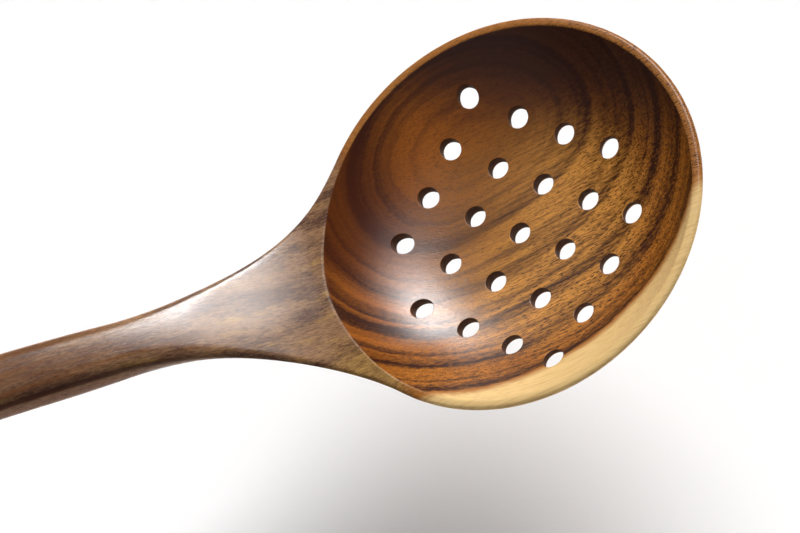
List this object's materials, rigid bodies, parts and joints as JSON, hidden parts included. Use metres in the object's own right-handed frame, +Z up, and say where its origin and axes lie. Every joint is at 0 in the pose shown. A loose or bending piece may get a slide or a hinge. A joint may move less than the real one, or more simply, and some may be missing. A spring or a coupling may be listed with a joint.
{
  "type": "wooden skimmer",
  "caption": "Wooden skimmer: a shallow round bowl pierced by a diagonal grid of drain holes, a flared neck and a long bowed handle with a hanging hole.",
  "frame": {"origin": "bottom centre of the skimmer's box as it lies at rest on a table, on the underside of the bowl and the handle's end", "axes": "+X along the length towards the tip of the bowl, +Y across the bowl, +Z up from the table"},
  "size_m": [0.3146, 0.0934, 0.0355],
  "materials": {
    "oiled_wood": "sanded and oiled to a satin sheen, dark brown heartwood with a strip of pale sapwood at one side of the rim"
  },
  "bodies": {
    "root": {"skimmer_body": "oiled_wood"}
  },
  "joints": []
}
